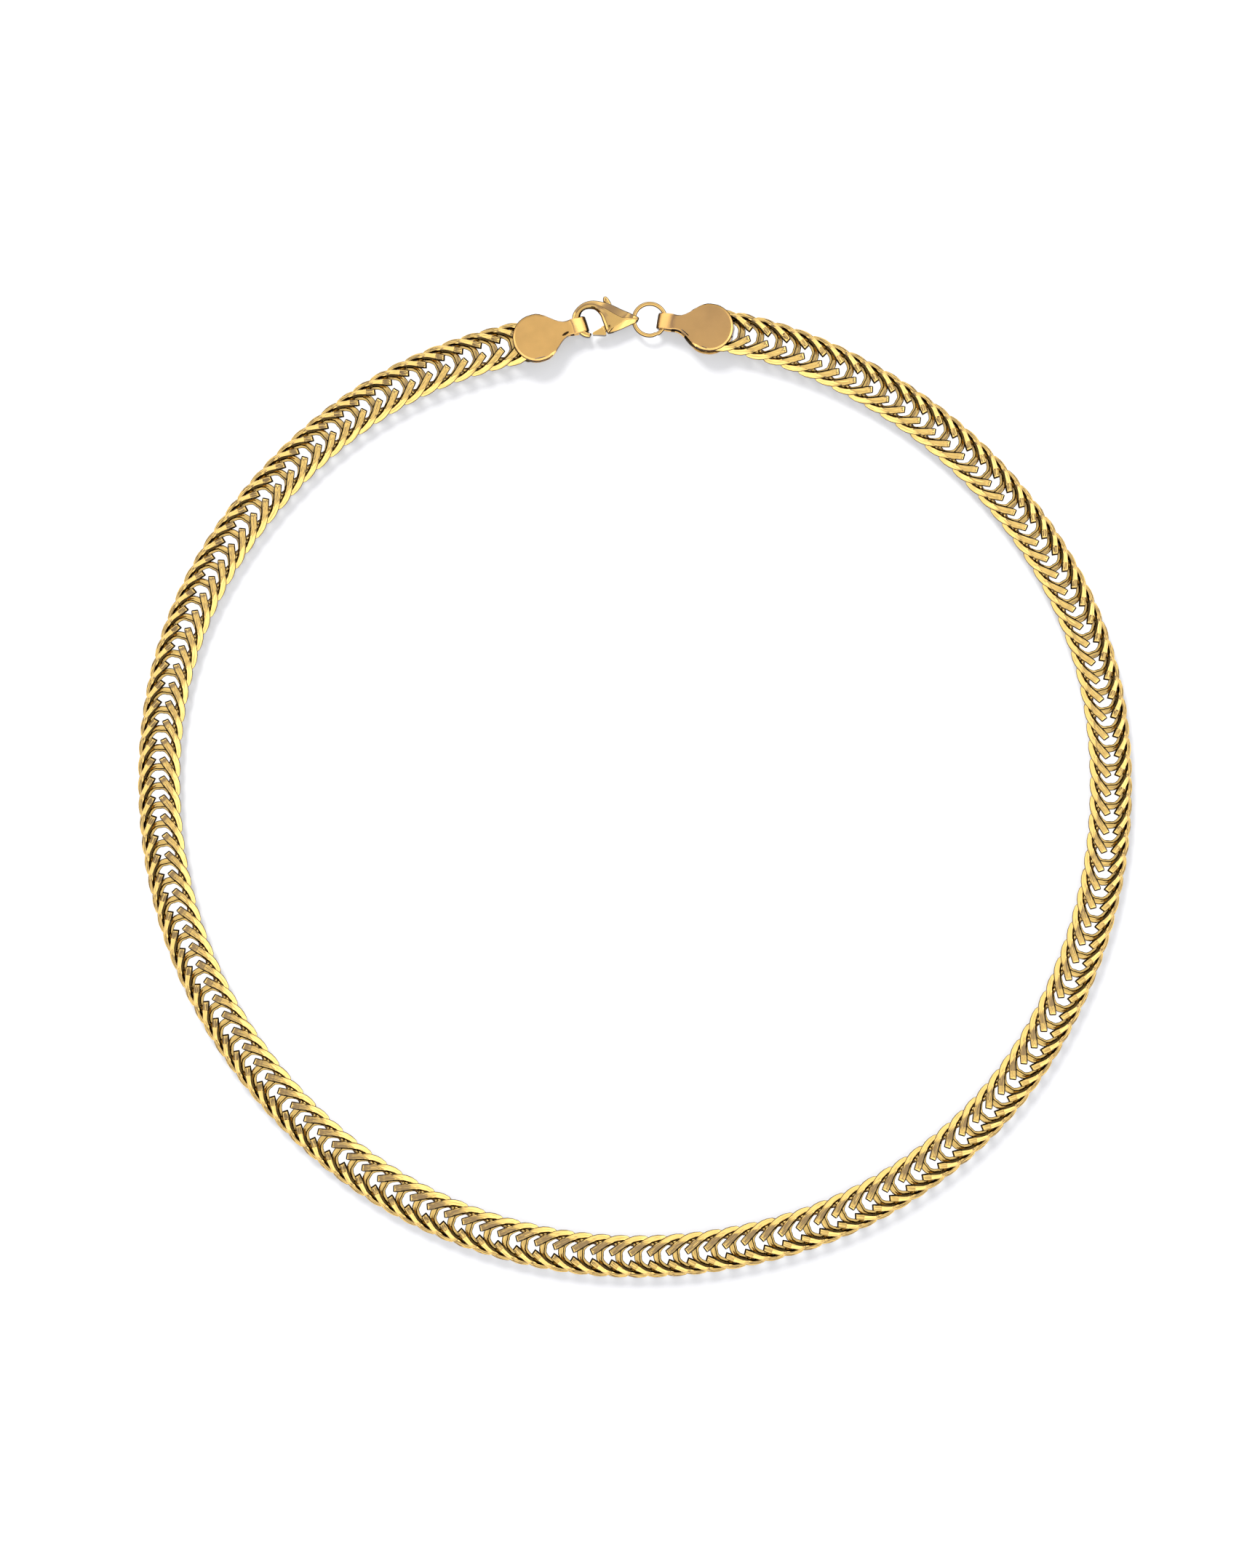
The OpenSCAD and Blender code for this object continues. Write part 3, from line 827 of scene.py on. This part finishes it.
def roundBar(name, radius, low, high, sides=32, middle=(0, 0), tilt=0.0):
    deselectAll()
    bpy.ops.mesh.primitive_cylinder_add(
        vertices=sides, radius=radius * mm, depth=(high - low) * mm, rotation=(tilt, 0, 0),
        location=(middle[0] * mm, middle[1] * mm, (low + high) / 2 * mm))
    bpy.ops.object.transform_apply(location=True, rotation=True, scale=True)
    bpy.context.object.name = name
    return bpy.context.object


def shortSide(obj, face):
    ends = [[obj.data.vertices[v].co for v in pair] for pair in face.edge_keys]
    return min((a - b).length for a, b in ends)


def markRidges(obj, rings):
    # finds the narrow faces along the two ridges of the upper side, which get painted shade as dark lines
    ridges = np.array([(ring[k] + ring[k + 1]) / 2 for ring in rings[clasp["ridgeFrom"]:] for k in (3, 6)])
    marks = []
    for face in obj.data.polygons:
        away = np.linalg.norm(ridges - np.array(face.center) / mm, axis=1).min()
        small = face.area < clasp["ridgeArea"] * mm * mm and shortSide(obj, face) < clasp["ridgeWidth"] * mm
        marks.append(1.0 if len(face.vertices) == 4 and away < clasp["ridgeReach"] and small else 0.0)
    paintShade(obj, marks, "line")


def cutClasp(obj):
    # the lever's slot, the pin's hole, the pressed mark and the eye
    gap, tall = clasp["leverThickness"] / 2 + clasp["leverGap"], clasp["cutHeight"]
    swung = rotate(0, clasp["swingRadius"], -clasp["swing"])
    cutWith(obj, roundBar("cut", clasp["slotRadius"], -gap, gap))
    cutWith(obj, extrudeShape("cut", [*clasp["armSlot"], swung, clasp["armSlotEnd"]], -gap, gap))
    cutWith(obj, extrudeShape("cut", clasp["gateSlot"], -gap, gap))
    cutWith(obj, roundBar("cut", clasp["pinRadius"] + clasp["pinGap"], -tall, tall))
    middle, long, short = (np.array(clasp[key]) for key in ("mark", "markLong", "markShort"))
    mark = [middle + long * math.cos(a) + short * math.sin(a) for a in anglesRound(clasp["markSides"])]
    cutWith(obj, extrudeShape("mark", mark, clasp["markLevel"], tall))
    hole, reach, sides = clasp["eyeHole"], clasp["eyeReach"], clasp["eyeSides"]
    cutWith(obj, roundBar("cut", hole, -reach, reach, sides, clasp["eye"], math.pi / 2))


def outlineSides(obj, steep, lines=None):
    # painted shade: walls and steep faces are painted dark, and so are the faces marked as lines between
    # facets
    lines = lines or [0.0] * len(obj.data.polygons)
    paintShade(obj, [clasp["outline"] if face.normal.z < steep else clasp["lineShade"] * (line > 0.5)
                     for face, line in zip(obj.data.polygons, lines)])


def makeClaspBody():
    rings = [claspRing(*row) for row in smoothThrough(clasp["stations"], clasp["smoothSteps"])]
    obj = tidyMesh(drawOut("clasp_body_shell", rings), clasp["firstSmooth"])
    markRidges(obj, rings)
    cutClasp(obj)
    smoothByAngle(obj, clasp["lastSmooth"])
    inClaspFrame(obj)
    # painted shade: dark lines on the ridges and on the floor of the pressed mark, and dark steep faces
    lines = [item.value for item in obj.data.attributes["line"].data]
    pressed = Vector(clasp["pin"]) + Vector((*clasp["mark"], clasp["markLevel"]))
    for i, face in enumerate(obj.data.polygons):
        if (face.center / mm - pressed).length < clasp["markReach"] and face.normal.z > clasp["markFlat"]:
            lines[i] = 1.0
    outlineSides(obj, clasp["steep"], lines)
    print("stage: clasp body made, faces", len(lines))
    return wearAs(obj, claspGold, "clasp_gold", "necklace", "clasp_body")


lever = {
    "disc": 0.78, "half": 0.34, "bore": 0.33, "boreHeight": 2, "gateHalf": 0.66,
    # the thumb arm and knob, from the pin outwards: place, half width, half thickness
    "arm": [(-0.05, 0.55, 0.62, 0.34), (-0.10, 1.6, 0.58, 0.34), (-0.12, 2.6, 0.54, 0.34),
            (-0.12, 3.3, 0.50, 0.34), (-0.24, 3.64, 0.58, 0.38), (-0.38, 3.98, 0.55, 0.42),
            (-0.50, 4.30, 0.48, 0.42), (-0.58, 4.56, 0.37, 0.36), (-0.62, 4.72, 0.22, 0.24),
            (-0.63, 4.79, 0.08, 0.10)],
    "armSides": 24, "armSmooth": 60,
    # outlines of the gate and of the thin root that joins it to the disc
    "root": [(-0.1, 0.7), (-1.3, -0.02), (-1.35, -1.15), (-0.4, -0.66)],
    "gate": [(-0.98, 0.02), (-2.50, -0.84), (-2.56, -1.10), (-2.46, -1.24), (-0.60, -1.30),
             (-0.42, -1.16), (-0.42, -1.0)],
    "bevel": 0.10, "bevelAngle": 0.5, "smooth": 15, "merge": 0.001, "steep": 0.72,
}


def makeLever():
    half, gateHalf, tall = lever["half"], lever["gateHalf"], lever["boreHeight"]
    rings = [np.array([(x + wide * math.cos(a), y, thick * math.sin(a))
                       for a in anglesRound(lever["armSides"])]) for x, y, wide, thick in lever["arm"]]
    arm = tidyMesh(drawOut("clasp_lever_arm", rings), lever["armSmooth"])
    disc = roundBar("disc", lever["disc"], -half, half)
    root = extrudeShape("gateRoot", lever["root"], -half, half)
    gate = extrudeShape("gate", lever["gate"], -gateHalf, gateHalf)
    for obj in (disc, root, gate):
        addModifier(obj, "BEVEL", width=lever["bevel"] * mm, segments=2, limit_method="ANGLE",
                    angle_limit=lever["bevelAngle"])
        tidyMesh(obj, lever["smooth"], lever["merge"])
    for obj in (disc, arm, root):
        cutWith(obj, roundBar("cut", lever["bore"], -tall, tall))
    obj = joinPieces([arm, disc, root, gate], "clasp_lever_gate")
    inClaspFrame(obj)
    # painted shade on its steep faces
    outlineSides(obj, lever["steep"])
    return wearAs(obj, claspGold, "clasp_gold", "lever", "clasp_lever")


pin = {
    # distance from the lower end and share of the radius, then the same from the upper end
    # down into its dimple
    "lower": [(0.08, 0.4), (0.02, 0.9), (0.06, 1)],
    "upper": [(0.06, 1), (0.01, 0.9), (0.01, 0.56), (0.12, 0.50), (0.30, 0.35)],
    "sides": 24, "smooth": 40, "merge": 0.001, "rimDepth": 0.05, "steep": 0.6, "tone": 0.99,
}


def makePin():
    top, r = clasp["thickness"] / 2, clasp["pinRadius"]
    levels = [(depth - top, r * share) for depth, share in pin["lower"]]
    levels += [(top - depth, r * share) for depth, share in pin["upper"]]
    rings = [np.array([(rad * math.cos(a), rad * math.sin(a), z) for a in anglesRound(pin["sides"])])
             for z, rad in levels]
    obj = inClaspFrame(tidyMesh(drawOut("clasp_pin_rivet", rings), pin["smooth"], pin["merge"]))
    # painted shade: only the rim of its upper end stays bright, and its sides and dimple are painted dark
    rim = (clasp["pin"][2] + top - pin["rimDepth"]) * mm
    paintShade(obj, [pin["tone"] if face.normal.z < pin["steep"] or face.center.z < rim else 0.0
                     for face in obj.data.polygons])
    return wearAs(obj, claspGold, "clasp_gold", "necklace", "clasp_pin")


ring = {
    "radius": 2.45, "wire": 0.33, "segments": 72, "wireSegments": 24,
    # the soldered seam, in degrees round the ring: how the wire narrows and steps there
    "seamAt": -63, "seamWidth": 3.0, "seamPinch": 0.22, "stepReach": 14, "seamStep": 0.04,
    # painted shade on the sides of the wire: how dark, from where and over how far
    "sideShade": 0.95, "sideFrom": 0.86, "sideRun": 0.16,
}


def makeRing():
    bpy.ops.mesh.primitive_torus_add(
        major_segments=ring["segments"], minor_segments=ring["wireSegments"],
        major_radius=ring["radius"] * mm, minor_radius=ring["wire"] * mm)
    obj = bpy.context.object
    obj.name = obj.data.name = "jump_ring_wire"
    place = np.array(clasp["pin"]) + [clasp["eye"][0] + ring["radius"], clasp["eye"][1], 0]

    def nip(co):
        angle = np.degrees(np.arctan2(co[:, 1], co[:, 0])) - ring["seamAt"]
        thin = 1 - ring["seamPinch"] * np.exp(-(angle / ring["seamWidth"]) ** 2)
        side = np.where(np.abs(angle) < ring["stepReach"], np.sign(angle), 0)
        radial = np.hypot(co[:, 0], co[:, 1])
        wish = ring["radius"] + (radial - ring["radius"]) * thin + ring["seamStep"] * side
        return place + np.column_stack([co[:, :2] * (wish / radial)[:, None], co[:, 2] * thin])
    moveVertices(obj, nip)
    pickOnly(obj)
    bpy.ops.object.shade_smooth()
    # painted shade darkens the sides of the wire
    shades = [ring["sideShade"] * min(1, max(0, (ring["sideFrom"] - v.normal.z) / ring["sideRun"]))
             for v in obj.data.vertices]
    paintShade(obj, shades, domain="POINT")
    return wearAs(obj, claspGold, "chain_gold", "necklace", "jump_ring")


makeClaspBody()
makePin()
makeLever()
makeRing()
print("stage: clasp and ring made")


# Floor, light and camera

studio = {
    "floor": 1.6, "floorTone": 0.45, "floorRough": 0.9, "floorGloss": 0.1, "floorGlow": 0.34,
    # painted light: a glowing strip and spots on the table that keep the floor white under the chain's
    # openings and in the clasp's holes, where shade would fall: half width, rows, degrees left out at the
    # caps, height
    "stripHalf": 2.0, "stripRows": 181, "stripGap": 3, "stripLift": 0.004, "stripGlow": 0.92,
    "glowSpots": [(-6.6, 72.4, 2.0), (2.0, 72.3, 2.1)], "spotSides": 24,
    "viewCentre": (-1.18, 0.505), "viewHeight": 242.1, "focusHeight": 1.5, "lens": 55.0, "sensor": 36.0,
    "keyPower": 18.6, "keyPlace": (-0.33, 0.80, 0.74), "keySize": 0.42,
    # brightness by the height of the direction, from the horizon to straight up
    "beside": [(0.0, 0.10), (0.10, 0.40), (0.22, 1.0), (0.45, 1.6), (0.60, 2.2), (0.69, 2.1), (0.72, 0.40),
               (0.815, 0.36), (0.85, 1.0), (0.90, 1.25), (0.935, 0.88), (1.0, 0.78)],
    "north": [(0.0, 0.10), (0.10, 0.30), (0.22, 0.9), (0.45, 1.4), (0.66, 1.5), (0.72, 0.55), (0.80, 0.40),
              (0.93, 0.42), (0.965, 0.66), (1.0, 0.76)],
    "south": [(0.0, 0.10), (0.10, 0.40), (0.24, 1.0), (0.45, 1.4), (0.58, 2.0), (0.70, 1.6), (0.80, 1.1),
              (0.88, 0.92), (0.94, 0.74), (1.0, 0.74)],
    # the way that each faces, and where its share of the room begins and is full
    "ways": {"north": ((-0.7, 0.71), 0.14, 0.28), "south": ((0, -1), 0.34, 0.48)},
    "roomStrength": 2.0, "coolBelow": 0.8, "coolness": 1.3, "wall": 0.46,
}


def makeWhite(name, glow):
    material = bpy.data.materials.new(name)
    material.use_nodes = True
    tone = studio["floorTone"]
    feed(material.node_tree, material.node_tree.nodes["Principled BSDF"].inputs, {
        "Base Color": (tone, tone, tone, 1), "Roughness": studio["floorRough"],
        "Specular IOR Level": studio["floorGloss"], "Emission Color": (1, 1, 1, 1),
        "Emission Strength": glow})
    return material


def makeStrip():
    # painted light: a glowing strip on the table under the chain, and round spots by the clasp, that whiten
    # the floor where shade would fall
    start, end = loop["rightCapTurn"] + studio["stripGap"], loop["leftCapTurn"] - studio["stripGap"]
    here = pointAt(np.linspace(start, end, studio["stripRows"]))
    half, lift = studio["stripHalf"], studio["stripLift"]
    away = half * np.array([unit(p - loop["centre"]) for p in here])
    corners = [(*p, lift) for p in np.vstack([here - away, here + away])]
    count = len(here)
    faces = [(i, i + 1, count + i + 1, count + i) for i in range(count - 1)]
    for x, y, reach in studio["glowSpots"]:
        faces.append(tuple(range(len(corners), len(corners) + studio["spotSides"])))
        corners += [(x + reach * math.cos(a), y + reach * math.sin(a), lift)
                    for a in anglesRound(studio["spotSides"])]
    mesh = bpy.data.meshes.new("glow_strip")
    mesh.from_pydata([tuple(np.array(c) * mm) for c in corners], [], faces)
    strip = bpy.data.objects.new("glow_strip", mesh)
    bpy.context.scene.collection.objects.link(strip)
    strip.data.materials.append(makeWhite("paintedLightStrip", studio["stripGlow"]))
    return strip


def makeFloor():
    bpy.ops.mesh.primitive_plane_add(size=studio["floor"], location=(0, 0, 0))
    floor = bpy.context.object
    floor.name = "table_top"
    floor.data.materials.append(makeWhite("tableWhite", studio["floorGlow"]))
    strip = makeStrip()


def makeRamp(tree, height, levels):
    colour = addNode(tree, "ValToRGB", {"Fac": height})["Color"]
    elements = colour.node.color_ramp.elements
    while len(elements) < len(levels):
        elements.new(0.5)
    for element, (at, tone) in zip(elements, levels):
        element.position = at
        cool = 1 + studio["coolness"] * max(0, studio["coolBelow"] - tone)
        bright = tone / studio["roomStrength"]
        element.color = (bright, bright, bright * cool, 1)
    return colour


def makeRoom():
    # a white room with dark cards at the sides and a dark opening to the north
    world = bpy.data.worlds.new("studioWorld")
    bpy.context.scene.world = world
    world.use_nodes = True
    tree = world.node_tree
    place = addNode(tree, "TexCoord")["Generated"]
    height = addNode(tree, "SeparateXYZ", {"Vector": place})["Z"]
    room = makeRamp(tree, height, studio["beside"])
    for side, (way, start, full) in studio["ways"].items():
        along = addNode(tree, "VectorMath", {0: place, 1: (*way, 0)}, operation="DOT_PRODUCT")
        share = addNode(tree, "MapRange", {"Value": along["Value"], "From Min": start, "From Max": full})
        colours = {"Factor": share["Result"], "A": room, "B": makeRamp(tree, height, studio[side])}
        room = addNode(tree, "Mix", colours, data_type="RGBA")["Result"]
    # what shows behind the table is plain and pale
    seen, wall = addNode(tree, "LightPath")["Is Camera Ray"], studio["wall"]
    colours = {"Factor": seen, "A": room, "B": (wall, wall, wall, 1)}
    room = addNode(tree, "Mix", colours, data_type="RGBA")["Result"]
    feed(tree, tree.nodes["Background"].inputs, {"Color": room, "Strength": studio["roomStrength"]})


def makeKeyLight():
    bpy.ops.object.light_add(type="AREA", location=studio["keyPlace"])
    key = bpy.context.object
    key.name = "keyLight"
    key.data.size = studio["keySize"]
    key.data.energy = studio["keyPower"]
    key.visible_glossy = False
    key.rotation_euler = (-Vector(studio["keyPlace"])).to_track_quat("-Z", "Y").to_euler()


def makeCamera():
    distance = studio["lens"] / studio["sensor"] * studio["viewHeight"] * mm
    data = bpy.data.cameras.new("photoCamera")
    data.lens = studio["lens"]
    data.sensor_width = studio["sensor"]
    camera = bpy.data.objects.new("photoCamera", data)
    bpy.context.scene.collection.objects.link(camera)
    x, y = studio["viewCentre"]
    camera.location = (x * mm, y * mm, distance + studio["focusHeight"] * mm)
    bpy.context.scene.camera = camera


makeFloor()
makeRoom()
makeKeyLight()
makeCamera()
bpy.context.scene.view_settings.view_transform = "Standard"
print("stage: floor, light and camera set")
